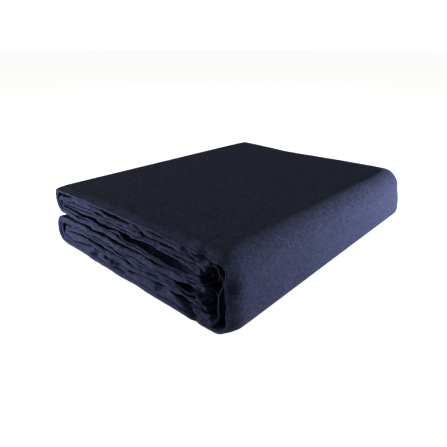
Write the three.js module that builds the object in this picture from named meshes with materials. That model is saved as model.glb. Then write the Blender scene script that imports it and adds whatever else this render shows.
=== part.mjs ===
// A thin comforter folded into a stack for a shelf, as one sheet of cloth.
// The cloth is doubled over end to end, its two ends are turned in, and it is closed like a book, so that
// in section it runs back and forth twelve times and wraps twice round the spine.
// X runs across the stack from the open ends to the spine, Y along the folds, and Z up.
// The origin is on the surface under the middle of the stack. All sizes are in millimetres.
import * as THREE from "three";

// Driving sizes
const DEPTH = 420; // along every fold
const THICKNESS = 4.4; // of the sheet, which is the cloth with its panels lying together
const SPINE_X = 176; // outside of the spine
const OPEN_END_X = -176; // outside of the lower half at its open end
const FRONT_HEIGHT = 93; // the front edges are looser, so the stack is higher there
const BACK_HEIGHT = 83;
const FRONT_END_DROP = 7; // how much lower the open end is than the middle, at the front and at the back
const BACK_END_DROP = 3;
const END_DROP_LENGTH = 160; // from the open end to where the top is level

// How the cloth is divided into facets
const RUN_STEPS = 11; // along one run across the stack
const ARC_STEPS = 4; // in a quarter turn
const EDGE_ROUND = 2; // width of the rounding along the front and back edges
const EDGE_SHARE = 0.5; // thickness left at the very edge
const CURL_REACH = 14; // how far in from an edge its curl and its swelling begin
const STATIONS = [0, EDGE_ROUND, 7, CURL_REACH, 45, 150, 290, DEPTH - CURL_REACH, DEPTH - EDGE_ROUND, DEPTH];

// The twelve runs from the surface up. front and back are the heights from this run to the next at the
// two edges. ripple is how far that height swells and shrinks along the run, once every wave, starting
// at phase. tuck and backTuck are how far the edges lie inside the stack's depth, thick is the
// thickness of the soft front edge, and curl is how far that edge turns up.
const RUNS = [
  { front: 11.3, back: 7.4, ripple: 0.8, wave: 170, phase: 0.4, tuck: 0, backTuck: 3, thick: 4.0, curl: 1.5 },
  { front: 11.8, back: 8.0, ripple: 1.0, wave: 120, phase: 2.1, tuck: 2, backTuck: 0, thick: 13.0, curl: 0.5 },
  { front: 6.6, back: 7.3, ripple: 0.7, wave: 140, phase: 4.0, tuck: 5, backTuck: 5, thick: 4.2, curl: 0.0 },
  { front: 5.4, back: 6.9, ripple: 0.3, wave: 100, phase: 1.2, tuck: 4, backTuck: 2, thick: 3.6, curl: 0.0 },
  { front: 7.0, back: 7.2, ripple: 0.4, wave: 90, phase: 5.2, tuck: 5, backTuck: 6, thick: 3.8, curl: 0.0 },
  { front: 10.8, back: 9.4, ripple: 1.2, wave: 160, phase: 3.0, tuck: 3, backTuck: 3, thick: 6.4, curl: -0.5 },
  { front: 6.4, back: 7.2, ripple: 0.5, wave: 110, phase: 0.9, tuck: 0, backTuck: 5, thick: 4.6, curl: -0.5 },
  { front: 9.0, back: 8.0, ripple: 0.9, wave: 130, phase: 2.6, tuck: 4, backTuck: 2, thick: 4.6, curl: 0.0 },
  { front: 5.9, back: 7.0, ripple: 0.3, wave: 95, phase: 4.7, tuck: 6, backTuck: 7, thick: 3.6, curl: 0.0 },
  { front: 7.4, back: 7.6, ripple: 0.8, wave: 125, phase: 1.8, tuck: 3, backTuck: 4, thick: 4.6, curl: 0.0 },
  { front: 8.4, back: 8.0, ripple: 0.5, wave: 150, phase: 3.7, tuck: 3, backTuck: 6, thick: 5.6, curl: 0.0 },
  { front: 0, back: 0, ripple: 0, wave: 1, phase: 0, tuck: 0, backTuck: 0, thick: 5.2, curl: -1.5 },
];

// Places where the front edges part. above is the run under the gap, x its middle, half its half length.
const PARTINGS = [
  { above: 7, x: 50, half: 48, opening: 4.5 },
  { above: 4, x: 110, half: 22, opening: 4.5 },
  { above: 3, x: 105, half: 40, opening: 1.0 },
  { above: 2, x: -15, half: 60, opening: 2.0 },
  { above: 10, x: -27, half: 32, opening: 1.5 },
];
const PARTING_REACH = 60; // how far in from the front edge the looseness dies away
const SETTLING = 0.14; // how much closer the six lower runs lie half-way to the back, under the weight

// The bends, in the order in which the cloth passes them. The cloth starts at a hem on run 2 and ends at a
// hem on run 3. reach is the outermost X of the sheet's middle, low and high are the radii at the lower
// and the upper run. inset is how far the bend's front edge lies inside the edges of its runs, and draw is
// how far the bend's edges are drawn in towards the middle of the stack.
const STARTING_HEM = { run: 2, x: -150 };
const ENDING_HEM = { run: 3, x: -144 };
const HALF = THICKNESS / 2;
const BENDS = [
  { from: 2, to: 5, reach: 143, low: 9, high: 9, inset: 3, draw: 2 },
  { from: 5, to: 0, reach: OPEN_END_X + HALF, low: 12, high: 24, inset: 0, draw: 1 },
  { from: 0, to: 11, reach: SPINE_X - HALF, low: 20, high: 35, inset: 3, draw: 9 },
  { from: 11, to: 6, reach: -163, low: 13, high: 12, inset: 0, draw: 1 },
  { from: 6, to: 9, reach: 141, low: 9, high: 8, inset: 3, draw: 2 },
  { from: 9, to: 8, reach: -148, inset: 1, draw: 1 },
  { from: 8, to: 7, reach: 133, inset: 3, draw: 1 },
  { from: 7, to: 10, reach: -156, low: 9, high: 9, inset: 1, draw: 2 },
  { from: 10, to: 1, reach: 163, low: 14, high: 26, inset: 3, draw: 7 },
  { from: 1, to: 4, reach: -166, low: 9, high: 11, inset: 1, draw: 2 },
  { from: 4, to: 3, reach: 134, inset: 3, draw: 1 },
];

const between = THREE.MathUtils.lerp;
const smooth = THREE.MathUtils.smoothstep;

// One at an edge, falling to nothing CURL_REACH inside it.
const atEdge = (distance) => Math.max(0, 1 - distance / CURL_REACH) ** 2;

// Height of the stack's top at x, inset in from the front edge.
function stackHeight(x, inset) {
  const end = 1 - smooth(x, OPEN_END_X, OPEN_END_X + END_DROP_LENGTH);
  const front = FRONT_HEIGHT - FRONT_END_DROP * end;
  const back = BACK_HEIGHT - BACK_END_DROP * end;
  return between(front, back, inset / DEPTH);
}

// How loosely the layers lie: one at the front edge, falling to nothing inside.
const looseness = (inset) => Math.exp(-inset / PARTING_REACH);

// Height from run to the one above it, before the heights are scaled to the stack's.
function pitchAbove(run, x, inset) {
  const { front, back, ripple, wave, phase } = RUNS[run];
  const loose = looseness(inset);
  const swell = ripple * (0.5 + 0.5 * loose) * Math.sin((2 * Math.PI * x) / wave + phase + inset / wave);
  const parted = PARTINGS.filter((p) => p.above === run).reduce(
    (sum, p) => sum + p.opening * Math.exp(-(((x - p.x) / p.half) ** 2)),
    0,
  );
  const settled = run < 6 ? 1 - SETTLING * Math.sin((Math.PI * inset) / DEPTH) : 1;
  return (between(back, front + parted, loose) + swell) * settled;
}

// Height of the middle of a run's sheet.
function runHeight(run, x, inset) {
  const pitches = RUNS.slice(0, -1).map((_, i) => pitchAbove(i, x, inset));
  const total = pitches.reduce((a, b) => a + b, 0);
  const below = pitches.slice(0, run).reduce((a, b) => a + b, 0);
  return HALF + ((stackHeight(x, inset) - THICKNESS) * below) / total + RUNS[run].curl * atEdge(inset);
}

// A bend's outline in section, as points from its first run to its second: two quarter turns
// with a straight between them, or a half turn where no radii are given.
function bendPoints(bend, inset) {
  const side = Math.sign(bend.reach);
  const reach = bend.reach - side * bend.draw * atEdge(Math.min(inset, DEPTH - inset));
  const lowRun = Math.min(bend.from, bend.to);
  const highRun = Math.max(bend.from, bend.to);
  const lowest = runHeight(lowRun, reach - side * (bend.low ?? 0), inset);
  const highest = runHeight(highRun, reach - side * (bend.high ?? 0), inset);
  const half = (highest - lowest) / 2;
  const low = Math.min(bend.low ?? half, half);
  const high = Math.min(bend.high ?? half, half);
  const points = [];
  for (let i = 0; i <= ARC_STEPS; i++) {
    const a = (i / ARC_STEPS) * (Math.PI / 2);
    points.push([reach - side * low * (1 - Math.sin(a)), lowest + low * (1 - Math.cos(a))]);
  }
  const halfTurn = bend.low === undefined; // its two quarter turns share their middle point
  for (let i = halfTurn ? 1 : 0; i <= ARC_STEPS; i++) {
    const a = (i / ARC_STEPS) * (Math.PI / 2);
    points.push([reach - side * high * (1 - Math.cos(a)), highest - high * (1 - Math.sin(a))]);
  }
  return bend.to > bend.from ? points : points.reverse();
}

// The middle of the sheet in the section at inset, from hem to hem. Each point carries how far its front
// and back edges are tucked in, and the thickness of the front edge.
function sectionLine(inset) {
  const bends = BENDS.map((bend) => bendPoints(bend, inset));
  const starts = [STARTING_HEM.x, ...bends.map((b) => b.at(-1)[0])];
  const ends = [...bends.map((b) => b[0][0]), ENDING_HEM.x];
  const order = [STARTING_HEM.run, ...BENDS.map((b) => b.to)];
  const line = [];
  order.forEach((run, i) => {
    const { tuck, backTuck, thick } = RUNS[run];
    const first = i === 0 ? 0 : 1; // after a bend, the run's first point is the bend's last
    const last = i === order.length - 1 ? RUN_STEPS : RUN_STEPS - 1;
    for (let k = first; k <= last; k++) {
      const x = between(starts[i], ends[i], k / RUN_STEPS);
      line.push({ x, z: runHeight(run, x, inset), tuck, backTuck, thick });
    }
    if (i < bends.length) {
      const next = RUNS[BENDS[i].to];
      bends[i].forEach(([x, z], k) => {
        const t = k / (bends[i].length - 1);
        line.push({
          x,
          z,
          tuck: between(tuck, next.tuck, t) + BENDS[i].inset * Math.sin(Math.PI * t),
          backTuck: between(backTuck, next.backTuck, t),
          thick: between(thick, next.thick, t) + (THICKNESS - between(thick, next.thick, t)) * Math.sin(Math.PI * t),
        });
      });
    }
  });
  return line;
}

// Unit normals of a section line, to the left of its way.
function normals(line) {
  return line.map((_, i) => {
    const a = line[Math.max(i - 1, 0)];
    const b = line[Math.min(i + 1, line.length - 1)];
    const length = Math.hypot(b.x - a.x, b.z - a.z);
    return [-(b.z - a.z) / length, (b.x - a.x) / length];
  });
}

// The folded sheet as one closed body: two faces a thickness apart, and a rim all round.
function foldedSheet() {
  const vertices = [];
  const faces = [];
  const rows = STATIONS.map((inset) => {
    const line = sectionLine(inset);
    const across = normals(line);
    const rounding = Math.min(inset, DEPTH - inset) < EDGE_ROUND ? EDGE_SHARE : 1;
    return line.map((p, i) => {
      const y = between(-DEPTH / 2 + p.tuck, DEPTH / 2 - p.backTuck, inset / DEPTH);
      const half = between(HALF, p.thick / 2, Math.sqrt(atEdge(inset))) * rounding;
      return [half, -half].map((h) => {
        vertices.push(p.x + h * across[i][0], y, p.z + h * across[i][1]);
        return vertices.length / 3 - 1;
      });
    });
  });
  const quad = (a, b, c, d) => faces.push(a, b, c, a, c, d);
  const LEFT = 0;
  const RIGHT = 1;
  const lastRow = rows.length - 1;
  const lastPoint = rows[0].length - 1;
  for (let j = 0; j < lastRow; j++) {
    const [near, far] = [rows[j], rows[j + 1]];
    for (let i = 0; i < lastPoint; i++) {
      quad(near[i][LEFT], near[i + 1][LEFT], far[i + 1][LEFT], far[i][LEFT]);
      quad(near[i][RIGHT], far[i][RIGHT], far[i + 1][RIGHT], near[i + 1][RIGHT]);
    }
    quad(near[0][RIGHT], near[0][LEFT], far[0][LEFT], far[0][RIGHT]);
    quad(near[lastPoint][LEFT], near[lastPoint][RIGHT], far[lastPoint][RIGHT], far[lastPoint][LEFT]);
  }
  for (let i = 0; i < lastPoint; i++) {
    const [front, back] = [rows[0], rows[lastRow]];
    quad(front[i][RIGHT], front[i + 1][RIGHT], front[i + 1][LEFT], front[i][LEFT]);
    quad(back[i][LEFT], back[i + 1][LEFT], back[i + 1][RIGHT], back[i][RIGHT]);
  }
  const geometry = new THREE.BufferGeometry();
  geometry.setAttribute("position", new THREE.Float32BufferAttribute(vertices, 3));
  geometry.setIndex(faces);
  geometry.computeVertexNormals();
  return geometry;
}

const navyCloth = new THREE.MeshStandardMaterial({ color: 0x20233d, roughness: 0.85, metalness: 0 });

const comforter = new THREE.Mesh(foldedSheet(), navyCloth);
comforter.name = "comforter";

const stack = new THREE.Group();
stack.add(comforter);

export default stack;
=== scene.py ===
"""A thin navy comforter, folded into a stack, on a white studio floor.

The comforter is one long sheet that runs back and forth between a rounded spine (+X) and two open ends
(-X), as in the CAD. Its section is worked out run by run and swept along the folds (Y). The front edges,
which show, have their own heights, thicknesses and dents. Sizes in the tables are in millimetres.
"""

import math

import bpy
import numpy as np
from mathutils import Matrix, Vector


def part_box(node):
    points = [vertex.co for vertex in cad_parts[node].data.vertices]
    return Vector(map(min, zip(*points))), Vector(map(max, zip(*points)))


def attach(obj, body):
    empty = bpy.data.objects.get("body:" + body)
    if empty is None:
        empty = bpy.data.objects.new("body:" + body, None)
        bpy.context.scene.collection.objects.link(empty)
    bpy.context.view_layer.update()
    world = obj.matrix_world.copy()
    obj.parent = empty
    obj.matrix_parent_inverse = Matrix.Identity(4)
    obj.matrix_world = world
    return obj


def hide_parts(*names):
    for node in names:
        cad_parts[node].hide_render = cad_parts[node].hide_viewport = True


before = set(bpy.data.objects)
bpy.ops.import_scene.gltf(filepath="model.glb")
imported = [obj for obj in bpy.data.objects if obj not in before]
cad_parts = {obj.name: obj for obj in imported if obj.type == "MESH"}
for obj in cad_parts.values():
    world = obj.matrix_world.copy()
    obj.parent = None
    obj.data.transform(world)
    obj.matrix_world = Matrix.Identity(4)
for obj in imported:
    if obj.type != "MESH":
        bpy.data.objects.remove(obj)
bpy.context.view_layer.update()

MM = 0.001
LOW, HIGH = (np.array(corner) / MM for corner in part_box("comforter"))
DEPTH = HIGH[1] - LOW[1]
SPINE_X = HIGH[0]
OPEN_END_X = LOW[0]

# ------------------------------------------------------------------------------------------ camera

CAMERA_PLACE = (0.3740, -0.4397, 0.2686)
CAMERA_AZIMUTH = math.radians(42.22)
CAMERA_ELEVATION = math.radians(24.30)
CAMERA_LENS = 31.88  # on a 36 mm sensor


def add_camera():
    data = bpy.data.cameras.new("camera")
    data.lens = CAMERA_LENS
    data.sensor_width = 36.0
    data.clip_start = 0.01
    camera = bpy.data.objects.new("camera", data)
    camera.location = CAMERA_PLACE
    camera.rotation_euler = (math.pi / 2 - CAMERA_ELEVATION, 0.0, CAMERA_AZIMUTH)
    bpy.context.collection.objects.link(camera)
    bpy.context.scene.camera = camera


add_camera()

# ------------------------------------------------------------------------------- the stack's sizes

THICKNESS = 4.4  # of the sheet, as in the CAD
HALF = THICKNESS / 2
FRONT_HEIGHT = 93.0
BACK_HEIGHT = 83.0
FRONT_END_DROP = 7.0  # how much lower the open end is than the middle, at the front and at the back
BACK_END_DROP = 0.5
END_DROP_LENGTH = 160.0
BACK_SAG = 3.5  # of the top at the back, deepest at this X
BACK_SAG_X = -40.0
BACK_SAG_REACH = 90.0
CURL_REACH = 20.0  # how far in from an edge its bends start to be drawn in
PARTING_REACH = 60.0  # how far in from the front edge the looseness dies away
SETTLING = 0.14  # how much closer the six lower runs lie half-way to the back, under the weight

# The twelve runs from the floor up, in the CAD's order: the height to the next run at the front and at
# the back, the swell of that height along the run, and how far the front and back edges are tucked in.
RUN_COLUMNS = ("front", "back", "ripple", "wave", "phase", "tuck", "back_tuck")
RUNS = [
    dict(zip(RUN_COLUMNS, row))
    for row in (
        (7.3, 7.4, 0.5, 170, 0.4, 0.0, 0.0),
        (10.5, 8.0, 0.8, 120, 2.1, 0.5, 0.0),
        (6.0, 7.3, 0.5, 140, 4.0, 1.5, 5.0),
        (5.2, 6.9, 0.3, 100, 1.2, 1.0, 2.0),
        (5.8, 7.2, 0.4, 90, 5.2, 1.5, 6.0),
        (10.5, 9.4, 0.9, 160, 3.0, 1.0, 3.0),
        (5.2, 7.2, 0.4, 110, 0.9, 0.5, 5.0),
        (13.8, 8.0, 0.7, 130, 2.6, 1.5, 2.0),
        (5.2, 7.0, 0.3, 95, 4.7, 0.8, 7.0),
        (7.5, 7.6, 0.6, 125, 1.8, 1.2, 4.0),
        (11.6, 8.0, 0.5, 150, 3.7, 0.8, 6.0),
        (0.0, 0.0, 0.0, 1, 0.0, 0.5, 0.0),
    )
]

# The lower and upper face of each run at its front edge, one row for each run from the floor up and one
# column for each X.
EDGE_X = (-150, -130, -110, -90, -70, -50, -30, -10, 10, 30, 50, 70, 90, 110, 130)
EDGE_BOTTOMS = (
    (0.0, 0.0, 0.0, 0.0, 0.0, 0.0, 0.0, 0.0, 0.0, 0.0, 0.0, 0.0, 0.0, 0.0, 0.0),
    (5.8, 6.8, 7.6, 7.5, 7.1, 6.9, 7.0, 7.0, 7.0, 7.5, 8.0, 7.7, 7.3, 5.9, 5.1),
    (12.9, 10.4, 11.2, 16.4, 20.0, 18.9, 15.5, 17.4, 17.6, 19.6, 21.6, 22.1, 22.8, 22.4, 19.9),
    (23.3, 25.5, 27.7, 32.4, 33.0, 30.6, 30.2, 30.8, 29.0, 28.7, 29.6, 31.0, 33.8, 28.0, 27.4),
    (32.6, 33.3, 35.0, 36.9, 37.1, 36.3, 36.1, 36.5, 35.0, 35.0, 35.0, 34.9, 35.0, 31.4, 31.2),
    (35.5, 36.6, 37.8, 39.0, 39.4, 38.8, 38.8, 38.9, 38.4, 38.4, 38.4, 38.1, 38.7, 42.4, 41.2),
    (49.2, 49.5, 50.9, 50.5, 50.1, 50.4, 50.5, 51.0, 51.0, 51.0, 51.5, 50.7, 50.0, 49.9, 49.6),
    (55.8, 56.7, 58.3, 58.4, 58.3, 58.9, 59.0, 59.9, 56.1, 55.5, 55.5, 53.7, 52.1, 52.4, 54.6),
    (62.2, 65.5, 66.5, 64.5, 66.0, 64.8, 65.9, 66.8, 66.7, 66.2, 67.2, 67.9, 65.5, 63.0, 60.8),
    (65.8, 67.2, 68.8, 69.5, 70.6, 71.0, 70.5, 70.5, 70.0, 70.5, 71.5, 71.7, 70.8, 68.9, 68.6),
    (70.9, 71.2, 74.2, 74.5, 75.8, 76.7, 76.2, 75.6, 75.0, 77.0, 78.0, 78.7, 78.1, 75.9, 75.7),
    (80.4, 81.9, 82.7, 83.5, 84.0, 84.7, 85.5, 85.5, 85.0, 86.0, 85.0, 86.0, 84.8, 84.9, 83.6),
)
EDGE_TOPS = (
    (5.4, 6.4, 7.2, 7.1, 6.7, 6.5, 6.6, 6.6, 6.6, 7.1, 7.6, 7.3, 6.9, 5.5, 4.7),
    (12.6, 10.0, 10.0, 14.2, 19.2, 12.6, 14.9, 14.5, 13.6, 19.0, 21.0, 18.0, 20.6, 13.5, 19.4),
    (21.6, 22.3, 24.5, 26.6, 27.2, 25.2, 26.4, 26.5, 24.6, 25.6, 26.8, 28.7, 32.3, 27.4, 26.2),
    (30.5, 32.1, 34.2, 35.4, 36.4, 34.5, 34.0, 34.2, 34.4, 34.6, 34.6, 34.5, 34.5, 29.4, 28.8),
    (35.1, 36.2, 37.4, 38.6, 39.0, 38.4, 38.4, 38.5, 38.0, 38.0, 38.0, 37.7, 37.4, 32.8, 33.6),
    (41.1, 44.6, 45.4, 46.0, 46.0, 45.5, 45.3, 45.3, 46.5, 46.5, 46.8, 46.6, 46.9, 48.4, 48.3),
    (55.2, 56.0, 57.1, 56.8, 57.1, 58.3, 58.6, 57.1, 54.9, 55.0, 55.0, 53.3, 51.7, 51.9, 54.0),
    (59.4, 60.2, 61.9, 59.9, 61.1, 60.1, 60.2, 63.3, 57.9, 57.4, 57.2, 55.6, 53.8, 54.1, 60.3),
    (65.4, 66.8, 68.4, 69.1, 70.2, 70.6, 70.1, 70.1, 69.6, 70.1, 71.1, 71.3, 70.4, 68.5, 68.2),
    (69.7, 70.6, 73.6, 73.9, 75.0, 74.1, 74.4, 74.5, 74.5, 76.4, 74.0, 75.2, 76.0, 75.3, 74.5),
    (77.6, 78.2, 80.6, 83.0, 83.4, 83.0, 81.0, 81.0, 80.8, 85.4, 84.6, 83.8, 84.4, 84.5, 82.7),
    (83.5, 85.0, 86.1, 86.8, 87.9, 88.2, 88.3, 88.3, 88.3, 88.8, 88.8, 88.0, 87.1, 86.7, 85.9),
)
LEAST_GAP = 0.3  # between one run and the next
LEAST_EDGE = 1.4  # the thinnest that a front edge gets
EDGE_REACH = 34.0  # how far in from the front edge its own heights fade out
TOP_REACH = 9.0  # the same for the top run, which rounds over at the front
EDGE_FALL = 1.3  # the power by which both fade
EDGE_SWELL_REACH = 9.0  # how far in from the front edge its own thickness fades out
EDGE_DEPTH = 2.2  # most that the rounding of a front edge goes back
EDGE_ROUNDING = 0.85  # the same as a share of half the edge's thickness
TUCK_WANDER = 0.8  # how unevenly a run's front edge is tucked in, over this length
TUCK_LENGTH = 55.0

# Soft troughs pressed into the front, each along a line from one (X, Z) to another, with its half-width
# and its depth.
DENT_COLUMNS = ("x0", "z0", "x1", "z1", "half", "depth")
DENTS = [
    dict(zip(DENT_COLUMNS, row))
    for row in (
        (-116, 9, -80, 19, 3.5, 3.0),
        (-74, 9, -56, 16, 3.5, 7.0),
        (-30, 13, -26, 14, 3.5, 6.0),
        (-22, 12, -6, 12, 4.5, 9.0),
        (64, 15, 76, 18, 3.5, 5.0),
        (102, 18, 122, 6, 4.2, 8.5),
        (31, 83, 43, 78, 3.0, 5.0),
        (43, 75, 67, 75, 2.4, 4.0),
        (110, 82, 118, 78, 3.5, 4.0),
        (119, 77, 143, 71, 2.0, 5.0),
        (136, 83, 146, 81, 3.0, 4.0),
        (152, 52, 152, 62, 5.0, 6.0),
    )
]
DENT_REACH = 14.0  # how far in from an edge its dents and wrinkles fade out

# The wrinkles and finer creases in the front, and how far its edges wander up and down.
WRINKLE_DEPTH = 1.3
WRINKLE_LENGTH = 38.0
CREASE_DEPTH = 0.65
CREASE_LENGTH = 13.0
LIFT = 0.3
LIFT_LENGTH = 46.0

# Where the front is calmer: from one X or Z to another, with the share of its wrinkles that is left at
# the first.
CALM_OPEN_END = (-158.0, -118.0, 0.2)
CALM_FLOOR = (2.0, 14.0, 0.3)
CALM_TOP = (89.0, 80.0, 0.4)
CALM_LIFT = (1.0, 14.0, 0.0)
CALM_WRAP = 0.7  # how much calmer the inner wrap round the spine is, at this X
CALM_WRAP_X = 149.5
CALM_WRAP_HALF = 6.5

# The short folds near the spine are more creased. They begin between the first two X and end between the
# other two.
SHORT_FOLDS_START = (108.0, 130.0)
SHORT_FOLDS_END = (142.0, 151.0)
SHORT_FOLDS_CREASING = 2.2
TWIST = 1.1  # how far they wander up and down
TWIST_LENGTH = 26.0

# The spine is drawn in near its front edge, at each of these heights.
PINCH_COLUMNS = ("depth", "z", "half")
PINCHES = [dict(zip(PINCH_COLUMNS, row)) for row in ((3.0, 61.0, 8.0), (1.2, 12.0, 10.0))]
PINCH_START = (158.0, 170.0)
PINCH_REACH = 9.0

# Near the back the upper part of each bend leans in, by this share of its draw.
BACK_LEAN = 1.3
BACK_LEAN_REACH = 60.0

# The spine swells out low down, more and more between these distances from the front.
BELLY = 2.0
BELLY_START = (150.0, 172.0)
BELLY_Z = 34.0
BELLY_HALF = 22.0
BELLY_INSETS = (220.0, 400.0)

# The back edges: how far they lie in, how far they wander in and out and up and down, and how far the
# corners of the open ends are rounded off.
BACK_TUCK = 1.0
BACK_WANDER = 0.8
BACK_LIFT = 0.5
BACK_CORNER = 6.0
BACK_CORNER_LENGTH = 30.0

# The front's outline in plan: how far it goes back at each X.
PLAN_X = (-176, -165, -150, -130, -110, -90, -60, 0, 60, 90, 130, 176)
PLAN_BACK = (3.2, 2.9, 1.7, 1.0, 0.5, 0.2, 0.0, 0.0, 0.0, 0.4, 1.0, 1.5)

STARTING_HEM = {"run": 2, "x": -152.5}
ENDING_HEM = {"run": 3, "x": -144.0}

# The bends, in the CAD's order, which is that in which the cloth passes them: the two runs, the outermost
# X, the radii at the lower and upper run (none for a half turn), how far the front edge lies in, how far
# the edges are drawn towards the middle, the thickness of the front edge, and the steps along its straight
# part.
BEND_COLUMNS = ("start", "end", "reach", "low", "high", "inset", "draw", "thick", "steps")
BENDS = [
    dict(zip(BEND_COLUMNS, row))
    for row in (
        (2, 5, 147.0, 7.0, 7.0, 12.0, 1.0, 3.0, 3),
        (5, 0, OPEN_END_X + HALF, 12.0, 24.0, 0.0, 2.5, 7.4, 6),
        (0, 11, SPINE_X - HALF, 18.0, 24.0, 0.5, 6.5, 2.4, 24),
        (11, 6, -163.0, 13.0, 10.5, 0.0, 3.0, 8.4, 6),
        (6, 9, 148.0, 9.0, 5.0, 12.0, 1.0, 2.6, 3),
        (9, 8, -148.0, None, None, 1.0, 5.0, 3.6, 0),
        (8, 7, 138.0, None, None, 8.0, 1.0, 8.0, 0),
        (7, 10, -156.0, 9.0, 9.0, 1.0, 4.6, 4.0, 4),
        (10, 1, 153.0, 7.0, 8.0, 5.0, 0.5, 2.0, 20),
        (1, 4, -166.0, 9.0, 11.0, 1.0, 1.8, 5.6, 4),
        (4, 3, 139.0, None, None, 8.0, 1.0, 8.0, 0),
    )
]
SPINE_CORNER = 0.6  # the share of its upper radius that the spine loses at the front edge
BEND_ONSET = 2.2  # how soon along a bend its own inset and thickness are reached
HALF_TURN_FILL = 0.95  # most of a half turn's height that its front edge fills

# ---------------------------------------------------------------------------------- the folded sheet

RUN_STEPS = 165  # along each run
ARC_STEPS = 8  # round each of a bend's two radii

# The sections' distances from the front edge, and how the edges are rounded: how far each round rises from
# the middle of the sheet, as a share of half its thickness, and how far it lies in.
BODY_STEPS = (0, 1.5, 3.5, 6, 9, 13, 18, 26, 44, 90, 170, 260, 340, 390, 408)
EDGE_PROFILE = [(math.sin(a), 1 - math.cos(a)) for a in np.radians((0, 18, 36, 54, 72))]
BACK_PROFILE = [(math.sin(a), 1 - math.cos(a)) for a in np.radians((0, 30, 60))]


def smooth(x, low, high):
    """0 up to low and 1 from high on, with a smooth rise between them."""
    t = np.clip((x - low) / (high - low), 0.0, 1.0)
    return t * t * (3 - 2 * t)


def bump(x, middle, half):
    """1 at the middle, falling off on both sides."""
    return np.exp(-(((x - middle) / half) ** 2))


def calmed(x, start, end, share):
    """The given share up to start, rising to 1 from end on."""
    return share + (1 - share) * smooth(x, start, end)


def read_curve(at, values, x):
    """The value at x of a smooth curve through the given points."""
    at, values = np.array(at, float), np.array(values, float)
    slopes = np.gradient(values, at)
    x = np.clip(x, at[0], at[-1])
    i = np.clip(np.searchsorted(at, x, side="right") - 1, 0, len(at) - 2)
    span = at[i + 1] - at[i]
    t = (x - at[i]) / span
    return (
        values[i] * (1 + 2 * t) * (1 - t) ** 2
        + slopes[i] * span * t * (1 - t) ** 2
        + values[i + 1] * t * t * (3 - 2 * t)
        + slopes[i + 1] * span * t * t * (t - 1)
    )


def edge_faces(run, x):
    """Heights of the lower and upper face of a run's front edge."""
    low, high = read_curve(EDGE_X, EDGE_BOTTOMS[run], x), read_curve(EDGE_X, EDGE_TOPS[run], x)
    return low, np.maximum(high, low + LEAST_EDGE)


def at_edge(distance):
    """1 at an edge, falling to 0 at CURL_REACH from it."""
    return np.maximum(0.0, 1 - distance / CURL_REACH) ** 2


def stack_height(x, inset):
    """The height of the whole stack at x, at inset from its front."""
    end = 1 - smooth(x, OPEN_END_X, OPEN_END_X + END_DROP_LENGTH)
    front = FRONT_HEIGHT - FRONT_END_DROP * end
    back = BACK_HEIGHT - BACK_END_DROP * end - BACK_SAG * bump(x, BACK_SAG_X, BACK_SAG_REACH)
    return front + (back - front) * inset / DEPTH


def pitch_above(run, x, inset):
    """The height from a run to the next one at x, before the stack is fitted to its height."""
    r = RUNS[run]
    loose = math.exp(-inset / PARTING_REACH)
    turn = 2 * np.pi * x / r["wave"] + r["phase"] + inset / r["wave"]
    swell = r["ripple"] * (0.5 + 0.5 * loose) * np.sin(turn)
    settled = 1 - SETTLING * math.sin(math.pi * inset / DEPTH) if run < 6 else 1.0
    return (r["back"] + (r["front"] - r["back"]) * loose + swell) * settled


def levels(x, inset):
    """Middle height and thickness of each run's sheet at x, from the floor up, none touching the next."""
    pitches = [pitch_above(i, x, inset) for i in range(11)]
    shares = np.cumsum([np.zeros_like(x)] + pitches, 0) / sum(pitches)
    rest = HALF + (stack_height(x, inset) - THICKNESS) * shares
    swell = math.exp(-((inset / EDGE_SWELL_REACH) ** 2))
    heights, thicknesses = [], []
    for run in range(12):
        own = math.exp(-((inset / (TOP_REACH if run == 11 else EDGE_REACH)) ** EDGE_FALL))
        low, high = edge_faces(run, x)
        thick = THICKNESS + (high - low - THICKNESS) * swell
        height = rest[run] + ((low + high) / 2 - rest[run]) * own
        least = heights[-1] + (thicknesses[-1] + thick) / 2 + LEAST_GAP if run else thick / 2
        heights.append(np.maximum(height, least))
        thicknesses.append(thick)
    return heights, thicknesses


def bend_line(bend, inset):
    """The middle of the sheet (X, Z) round a bend in the section at inset."""
    side = math.copysign(1.0, bend["reach"])
    reach = bend["reach"] - side * bend["draw"] * float(at_edge(inset))
    leaning = max(0.0, 1 - (DEPTH - inset) / BACK_LEAN_REACH) ** 2
    high_reach = reach - side * BACK_LEAN * bend["draw"] * leaning
    low_run, high_run = sorted((bend["start"], bend["end"]))
    low, high = bend["low"], bend["high"]
    if bend["start"] == 0:
        high *= 1 - SPINE_CORNER * float(at_edge(inset))
    ends = np.array([reach - side * (low or 0.0), high_reach - side * (high or 0.0)])
    heights, _ = levels(ends, inset)
    lowest, highest = heights[low_run][0], heights[high_run][1]
    half = (highest - lowest) / 2
    low = half if low is None else min(low, half)
    high = half if high is None else min(high, half)
    a = np.linspace(0, math.pi / 2, ARC_STEPS + 1)
    rising = np.stack([reach - side * low * (1 - np.sin(a)), lowest + low * (1 - np.cos(a))], 1)
    levelling = np.stack([high_reach - side * high * (1 - np.cos(a)), highest - high * (1 - np.sin(a))], 1)
    t = np.linspace(0, 1, bend["steps"] + 2)[1:-1, None]
    straight = rising[-1] * (1 - t) + levelling[0] * t
    if bend["low"] is None:
        levelling = levelling[1:]
    points = np.concatenate([rising, straight, levelling])
    return points if bend["end"] > bend["start"] else points[::-1]


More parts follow.
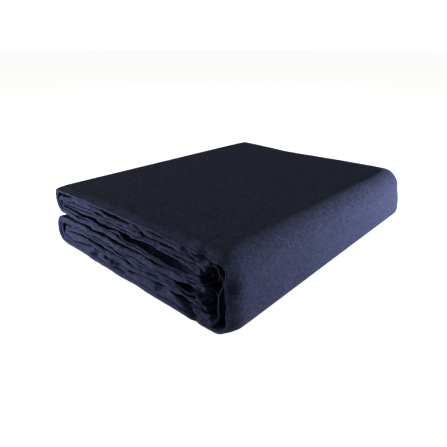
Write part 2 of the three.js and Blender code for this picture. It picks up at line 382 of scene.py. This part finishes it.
def section_line(inset):
    """The middle of the sheet in the section at inset: X, Z, both edges' tucks and its thickness there."""
    bends = [bend_line(b, inset) for b in BENDS]
    starts = [STARTING_HEM["x"]] + [b[-1][0] for b in bends]
    ends = [b[0][0] for b in bends] + [ENDING_HEM["x"]]
    order = [STARTING_HEM["run"]] + [b["end"] for b in BENDS]
    swell = math.exp(-((inset / EDGE_SWELL_REACH) ** 2))
    columns = []
    for i, run in enumerate(order):
        t = np.linspace(0, 1, RUN_STEPS + 1)
        x = starts[i] + (ends[i] - starts[i]) * t
        heights, thicknesses = levels(x, inset)
        tuck = RUNS[run]["tuck"] + TUCK_WANDER * unevenness(x, TUCK_LENGTH, seed=run)
        back = np.full_like(x, RUNS[run]["back_tuck"])
        section = np.stack([x, heights[run], tuck, back, thicknesses[run]], 1)
        if columns:
            section = section[1:]
        columns.append(section)
        if i < len(bends):
            columns.append(bends[i])
    for i in range(1, len(columns), 2):
        bend, before, after = BENDS[i // 2], columns[i - 1][-1], columns[i + 1][0]
        points = columns[i][1:]
        t = np.linspace(0, 1, len(columns[i]))[1:, None]
        arch = np.minimum(1.0, BEND_ONSET * np.sin(np.pi * t))
        others = before[2:] * (1 - t) + after[2:] * t
        others[:, :1] += bend["inset"] * arch
        thick = THICKNESS + (bend["thick"] - THICKNESS) * swell
        if bend["low"] is None:
            thick = min(thick, HALF_TURN_FILL * abs(points[-1][1] - points[0][1]))
        others[:, 2:] = others[:, 2:] * (1 - arch) + thick * arch
        columns[i] = np.concatenate([points, others], 1)
    return np.concatenate(columns)


def section_normals(line):
    """Unit vectors (X, Z) across the sheet, on the side that is on its left."""
    d = np.gradient(line[:, :2], axis=0)
    d /= np.linalg.norm(d, axis=1, keepdims=True)
    return np.stack([-d[:, 1], d[:, 0]], 1)


def unevenness(x, length, seed):
    """An irregular swell along x between about -1 and 1, with waves of about the given length."""
    total = np.zeros_like(x)
    for k in (1, 2, 3):
        total += math.sin(1.7 * seed + k) * np.sin(2 * np.pi * x * k / (2.3 * length) + 2.1 * seed * k)
    return total / 2


def crumple(x, z, length, seed):
    """Irregular wrinkles between about -1 and 1: eight waves that lean in different ways."""
    total = np.zeros_like(x)
    for k in range(1, 9):
        turn = 2.4 * k + seed
        size = length * (0.55 + 0.12 * k)
        across = 0.9 * math.sin(turn) * x + (1.2 + 0.8 * math.cos(turn)) * z
        total += np.sin(2 * np.pi * across / size + 1.9 * seed * k)
    return total / 3.2


def short_folds(x):
    """1 where the short folds end near the spine, 0 elsewhere."""
    return smooth(x, *SHORT_FOLDS_START) * (1 - smooth(x, *SHORT_FOLDS_END))


def front_relief(x, z):
    """How far the front is pressed in at each (x, z)."""
    creasing = 1 + SHORT_FOLDS_CREASING * short_folds(x)
    pressed = WRINKLE_DEPTH * crumple(x, z, WRINKLE_LENGTH, seed=0.7)
    pressed += CREASE_DEPTH * creasing * crumple(x, z, CREASE_LENGTH, seed=4.2)
    pressed *= calmed(x, *CALM_OPEN_END) * calmed(z, *CALM_FLOOR) * calmed(z, *CALM_TOP)
    pressed *= 1 - CALM_WRAP * bump(x, CALM_WRAP_X, CALM_WRAP_HALF)
    for dent in DENTS:
        span = np.array([dent["x1"] - dent["x0"], dent["z1"] - dent["z0"]])
        t = ((x - dent["x0"]) * span[0] + (z - dent["z0"]) * span[1]) / (span @ span)
        t = np.clip(t, 0.0, 1.0)
        away = np.hypot(x - dent["x0"] - t * span[0], z - dent["z0"] - t * span[1])
        pressed += dent["depth"] * bump(away, 0.0, dent["half"])
    return pressed + read_curve(PLAN_X, PLAN_BACK, x)


def front_lift(x, z):
    """How far the front's edges wander up and down, less and less towards the floor."""
    wander = LIFT * crumple(x, z, LIFT_LENGTH, seed=2.9)
    wander += TWIST * short_folds(x) * crumple(x, z, TWIST_LENGTH, seed=5.1)
    return wander * calmed(z, *CALM_LIFT)


def spine_pinch(x, z):
    """How far the spine is drawn in at its front edge."""
    depth = sum(pinch["depth"] * bump(z, pinch["z"], pinch["half"]) for pinch in PINCHES)
    return smooth(x, *PINCH_START) * depth


def spine_belly(x, z, inset):
    """How far the spine swells out."""
    swell = smooth(x, *BELLY_START) * bump(z, BELLY_Z, BELLY_HALF) * smooth(inset, *BELLY_INSETS)
    return BELLY * swell


def back_relief(x, z, inset):
    """How far the back edges go out and up near the back."""
    fade = bump(DEPTH - inset, 0.0, DENT_REACH)
    out = fade * (BACK_WANDER * crumple(x, z, WRINKLE_LENGTH, seed=1.9) - BACK_TUCK)
    corner = 1 - smooth(x, OPEN_END_X, OPEN_END_X + BACK_CORNER_LENGTH)
    out -= BACK_CORNER * corner * at_edge(DEPTH - inset)
    up = fade * BACK_LIFT * crumple(x, z, LIFT_LENGTH, seed=0.4) * calmed(z, *CALM_LIFT)
    return out, up


def sheet_vertices():
    """Rounds x stations x (x, y, z, place across the cloth): the rounds go over the cloth from its front
    edge to its back edge and under it again."""
    front = section_line(0.0)
    front_across = section_normals(front)
    edge_half = front[:, 4] / 2
    edge_depth = np.minimum(EDGE_ROUNDING * edge_half, EDGE_DEPTH)
    y_front = -DEPTH / 2 + front[:, 2]
    y_back = DEPTH / 2 - front[:, 3]
    over, under = [], []

    def lay(line, across, half, depth, inset):
        """Add a round over the line and one under it, each half a thickness away."""
        fade = bump(inset, 0.0, DENT_REACH)
        pinch_fade = bump(inset, 0.0, PINCH_REACH)
        for side, rounds in ((1.0, over), (-1.0, under)):
            x = line[:, 0] + side * half * across[:, 0]
            z = line[:, 1] + side * half * across[:, 1]
            out, up = back_relief(x, z, inset)
            drawn = x - spine_pinch(x, z) * pinch_fade + spine_belly(x, z, inset)
            y = depth + front_relief(x, z) * fade + out
            raised = z + front_lift(x, z) * fade + up
            rounds.append(np.stack([drawn, y, raised, y + side * half], 1))

    for rise, inward in EDGE_PROFILE:
        lay(front, front_across, edge_half * rise, y_front + edge_depth * inward, 0.0)
    for inset in BODY_STEPS:
        line = section_line(float(inset))
        y_inner = y_front + edge_depth
        y = y_inner + (y_back - HALF - y_inner) * inset / BODY_STEPS[-1]
        lay(line, section_normals(line), line[:, 4] / 2, y, inset)
    back = section_line(DEPTH)
    back_across = section_normals(back)
    for rise, inward in reversed(BACK_PROFILE):
        lay(back, back_across, HALF * rise, y_back - HALF * inward, DEPTH)
    return np.array(over + under[-2:0:-1])


def build_comforter():
    """The piece, and the length in metres of the strip that it is folded from."""
    rounds = sheet_vertices()
    count, stations, _ = rounds.shape
    vertices = rounds[:, :, :3].reshape(-1, 3)
    vertices[:, 2] = np.maximum(vertices[:, 2], 0.0)
    k, i = np.meshgrid(np.arange(count), np.arange(stations - 1), indexing="ij")
    following = (k + 1) % count
    a, b = k * stations + i, following * stations + i
    quads = np.stack([a, b, b + 1, a + 1], -1).reshape(-1, 4)
    half = count // 2
    caps = []
    for station, flip in ((0, False), (stations - 1, True)):
        for j in range(half):
            near = (j * stations + station, (j + 1) * stations + station)
            far = (((count - j) % count) * stations + station, (count - j - 1) * stations + station)
            # The first and last faces of a cap are triangles.
            face = list(dict.fromkeys([near[0], far[0], far[1], near[1]]))
            caps.append(face[::-1] if flip else face)
    mesh = bpy.data.meshes.new("folded_comforter")
    mesh.from_pydata((vertices * MM).tolist(), [], quads.tolist() + caps)
    mesh.validate()
    mesh.update()
    mesh.shade_smooth()
    place = mesh.attributes.new("cloth_place", "FLOAT_VECTOR", "POINT")
    middle = section_line(DEPTH / 2)[:, :2]
    steps = np.linalg.norm(np.diff(middle, axis=0), axis=1)
    along = np.concatenate([[0.0], np.cumsum(steps)])
    places = np.zeros((count, stations, 3))
    places[:, :, 0] = along[None, :]
    places[:, :, 1] = rounds[:, :, 3]
    place.data.foreach_set("vector", (places * MM).astype(np.float32).ravel())
    piece = bpy.data.objects.new("folded_comforter", mesh)
    bpy.context.collection.objects.link(piece)
    return piece, float(along[-1]) * MM


comforter, strip_length = build_comforter()

# -------------------------------------------------------------------------------------- materials

CLOTH_COLOUR = (0.0165, 0.0190, 0.0490)
FLECK_COLOUR = (0.1150, 0.1250, 0.2050)
THREAD_PITCH = 0.9 * MM
SLUB_WIDTH = 1.3
SLUB_LENGTH = 6.0
FLECK_SIZE = 1.6
CLOUD_SIZE = 45.0

# The values of each noise from dark to light, how much each pattern lightens the cloth beside the slubs,
# how far their sum goes towards the flecks' colour, and how much each stands out.
SLUB_VALUES = (0.40, 0.64)
FLECK_VALUES = (0.48, 0.70)
CLOUD_VALUES = (0.3, 0.7)
FLECK_TONE = 1.4
WEAVE_TONE = 0.10
CLOUD_TONE = 0.12
TONE = 0.22
WEAVE_RELIEF = 0.25
SLUB_RELIEF = 1.2
FLECK_RELIEF = 0.8
RELIEF_HEIGHT = 0.35 * MM
RELIEF_STRENGTH = 0.8


class Graph:
    """Short names for the few shader nodes that the cloth is made from."""

    def __init__(self, material):
        material.use_nodes = True
        self.nodes = material.node_tree.nodes
        self.links = material.node_tree.links

    def feed(self, socket, value):
        if isinstance(value, (int, float, tuple)):
            socket.default_value = value
        else:
            self.links.new(value, socket)

    def math(self, operation, *values, clamp=False):
        node = self.nodes.new("ShaderNodeMath")
        node.operation = operation
        node.use_clamp = clamp
        for socket, value in zip(node.inputs, values):
            self.feed(socket, value)
        return node.outputs[0]

    def noise(self, vector, detail, roughness=0.5):
        node = self.nodes.new("ShaderNodeTexNoise")
        node.inputs["Scale"].default_value = 1.0
        node.inputs["Detail"].default_value = detail
        node.inputs["Roughness"].default_value = roughness
        self.links.new(vector, node.inputs["Vector"])
        return node.outputs["Fac"]

    def vector(self, x, y, z=0.0):
        node = self.nodes.new("ShaderNodeCombineXYZ")
        for socket, value in zip(node.inputs, (x, y, z)):
            self.feed(socket, value)
        return node.outputs[0]

    def ramp(self, value, low, high):
        node = self.nodes.new("ShaderNodeMapRange")
        node.interpolation_type = "SMOOTHSTEP"
        for socket, number in zip(node.inputs[:5], (value, low, high, 0.0, 1.0)):
            self.feed(socket, number)
        return node.outputs[0]

    def mix(self, factor, first, second):
        node = self.nodes.new("ShaderNodeMix")
        node.data_type = "RGBA"
        self.feed(node.inputs[0], factor)
        # The colours have the seventh and eighth inputs and the third output.
        self.feed(node.inputs[6], first)
        self.feed(node.inputs[7], second)
        return node.outputs[2]


def cloth_material():
    """A navy weave with slubs, flecks and a faint cloudiness."""
    material = bpy.data.materials.new("navy_weave")
    g = Graph(material)
    shader = g.nodes["Principled BSDF"]
    place = g.nodes.new("ShaderNodeAttribute")
    place.attribute_name = "cloth_place"
    split = g.nodes.new("ShaderNodeSeparateXYZ")
    g.links.new(place.outputs["Vector"], split.inputs[0])
    along, across = split.outputs[0], split.outputs[1]

    def stretched(size_along, size_across, seed):
        u = g.math("DIVIDE", along, size_along * MM)
        v = g.math("DIVIDE", across, size_across * MM)
        return g.vector(u, v, seed)

    turn = 2 * math.pi / THREAD_PITCH
    weave = g.math(
        "MULTIPLY",
        g.math("SINE", g.math("MULTIPLY", along, turn)),
        g.math("SINE", g.math("MULTIPLY", across, turn)),
    )
    warp_slubs = g.noise(stretched(SLUB_WIDTH, SLUB_LENGTH, 1.7), 2.0)
    weft_slubs = g.noise(stretched(SLUB_LENGTH, SLUB_WIDTH, 5.3), 2.0)
    slubs = g.math("ADD", g.math("MULTIPLY", warp_slubs, 0.5), g.math("MULTIPLY", weft_slubs, 0.5))
    flecks = g.noise(stretched(FLECK_SIZE, FLECK_SIZE, 9.1), 3.0, 0.7)
    clouds = g.noise(stretched(CLOUD_SIZE, CLOUD_SIZE, 3.3), 3.0)

    tone = g.ramp(slubs, *SLUB_VALUES)
    tone = g.math("ADD", tone, g.math("MULTIPLY", g.ramp(flecks, *FLECK_VALUES), FLECK_TONE))
    tone = g.math("ADD", tone, g.math("MULTIPLY", weave, WEAVE_TONE))
    tone = g.math("ADD", tone, g.math("MULTIPLY", g.ramp(clouds, *CLOUD_VALUES), CLOUD_TONE))
    tone = g.math("MULTIPLY", tone, TONE, clamp=True)
    g.feed(shader.inputs["Base Color"], g.mix(tone, (*CLOTH_COLOUR, 1.0), (*FLECK_COLOUR, 1.0)))

    relief = g.math("MULTIPLY", weave, WEAVE_RELIEF)
    relief = g.math("ADD", relief, g.math("MULTIPLY", slubs, SLUB_RELIEF))
    relief = g.math("ADD", relief, g.math("MULTIPLY", flecks, FLECK_RELIEF))
    bumps = g.nodes.new("ShaderNodeBump")
    bumps.inputs["Distance"].default_value = RELIEF_HEIGHT
    bumps.inputs["Strength"].default_value = RELIEF_STRENGTH
    g.links.new(relief, bumps.inputs["Height"])
    g.links.new(bumps.outputs[0], shader.inputs["Normal"])
    shader.inputs["Roughness"].default_value = 0.9
    shader.inputs["Specular IOR Level"].default_value = 0.06
    shader.inputs["Sheen Weight"].default_value = 0.03
    shader.inputs["Sheen Roughness"].default_value = 0.5
    shader.inputs["Sheen Tint"].default_value = (0.55, 0.60, 0.95, 1.0)
    return material


comforter.data.materials.append(cloth_material())

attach(comforter, "root")
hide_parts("comforter")

# --------------------------------------------------------------------------------- floor and lights

FLOOR_REACH = 20.0
FLOOR_GLOW = 0.9
WALL_LIGHT = 0.075
BACKDROP_LIGHT = 1.05
WARM_WHITE = (0.95, 1.0, 0.80)

# Area lights, in metres and watts: one above for the top, a low one for the spine, which lies behind the
# front and so doesn't light it, and two for the front, the first of them level with its lower half.
LIGHTS = [
    {
        "name": "overhead",
        "place": (-0.1, 0.1, 1.5),
        "target": (0.0, 0.0, 0.0),
        "size": (1.6, 1.6),
        "power": 9.1,
        "colour": WARM_WHITE,
    },
    {
        "name": "key",
        "place": (0.62, 0.44, 0.042),
        "target": (0.17, 0.1, 0.042),
        "size": (0.45, 0.05),
        "power": 11.6,
        "colour": (0.84, 0.88, 1.0),
    },
    {
        "name": "fill",
        "place": (-0.28, -0.53, 0.028),
        "target": (-0.06, -0.2, 0.028),
        "size": (0.36, 0.045),
        "power": 3.0,
        "colour": (0.88, 0.90, 1.0),
    },
    {
        "name": "side",
        "place": (-0.75, -0.50, 0.22),
        "target": (-0.05, -0.1, 0.04),
        "size": (0.3, 0.2),
        "power": 1.0,
        "colour": (0.95, 0.94, 0.90),
    },
]


def add_floor():
    """A white floor, which lights nothing, so that the gaps near it stay dark."""
    reach = FLOOR_REACH
    mesh = bpy.data.meshes.new("floor")
    corners = [(-reach, -reach, 0), (reach, -reach, 0), (reach, reach, 0), (-reach, reach, 0)]
    mesh.from_pydata(corners, [], [(0, 1, 2, 3)])
    floor = bpy.data.objects.new("floor", mesh)
    bpy.context.collection.objects.link(floor)
    material = bpy.data.materials.new("white_floor")
    material.use_nodes = True
    shader = material.node_tree.nodes["Principled BSDF"]
    shader.inputs["Base Color"].default_value = (0.9, 0.9, 0.9, 1.0)
    shader.inputs["Roughness"].default_value = 1.0
    shader.inputs["Specular IOR Level"].default_value = 0.0
    shader.inputs["Emission Color"].default_value = (1.0, 1.0, 1.0, 1.0)
    shader.inputs["Emission Strength"].default_value = FLOOR_GLOW
    mesh.materials.append(material)
    floor.visible_diffuse = False


def add_light(name, place, target, size, power, colour):
    data = bpy.data.lights.new(name, "AREA")
    data.shape = "RECTANGLE"
    data.size, data.size_y = size
    data.energy = power
    data.color = colour
    light = bpy.data.objects.new(name, data)
    light.location = place
    direction = [p - t for p, t in zip(place, target)]
    flat = math.hypot(direction[0], direction[1])
    light.rotation_euler = (math.atan2(flat, direction[2]), 0.0, math.atan2(direction[0], -direction[1]))
    light.visible_camera = False
    bpy.context.collection.objects.link(light)


def add_world():
    """A white background, which lights the scene only as dimly as the walls of a studio."""
    world = bpy.data.worlds.new("studio")
    world.use_nodes = True
    nodes, links = world.node_tree.nodes, world.node_tree.links
    path = nodes.new("ShaderNodeLightPath")
    walls = nodes["Background"]
    walls.inputs["Color"].default_value = (*WARM_WHITE, 1.0)
    walls.inputs["Strength"].default_value = WALL_LIGHT
    backdrop = nodes.new("ShaderNodeBackground")
    backdrop.inputs["Color"].default_value = (1.0, 1.0, 1.0, 1.0)
    backdrop.inputs["Strength"].default_value = BACKDROP_LIGHT
    mix = nodes.new("ShaderNodeMixShader")
    links.new(path.outputs["Is Camera Ray"], mix.inputs[0])
    links.new(walls.outputs[0], mix.inputs[1])
    links.new(backdrop.outputs[0], mix.inputs[2])
    links.new(mix.outputs[0], nodes["World Output"].inputs["Surface"])
    bpy.context.scene.world = world


add_floor()
for light in LIGHTS:
    add_light(**light)
add_world()
bpy.context.scene.view_settings.view_transform = "Standard"
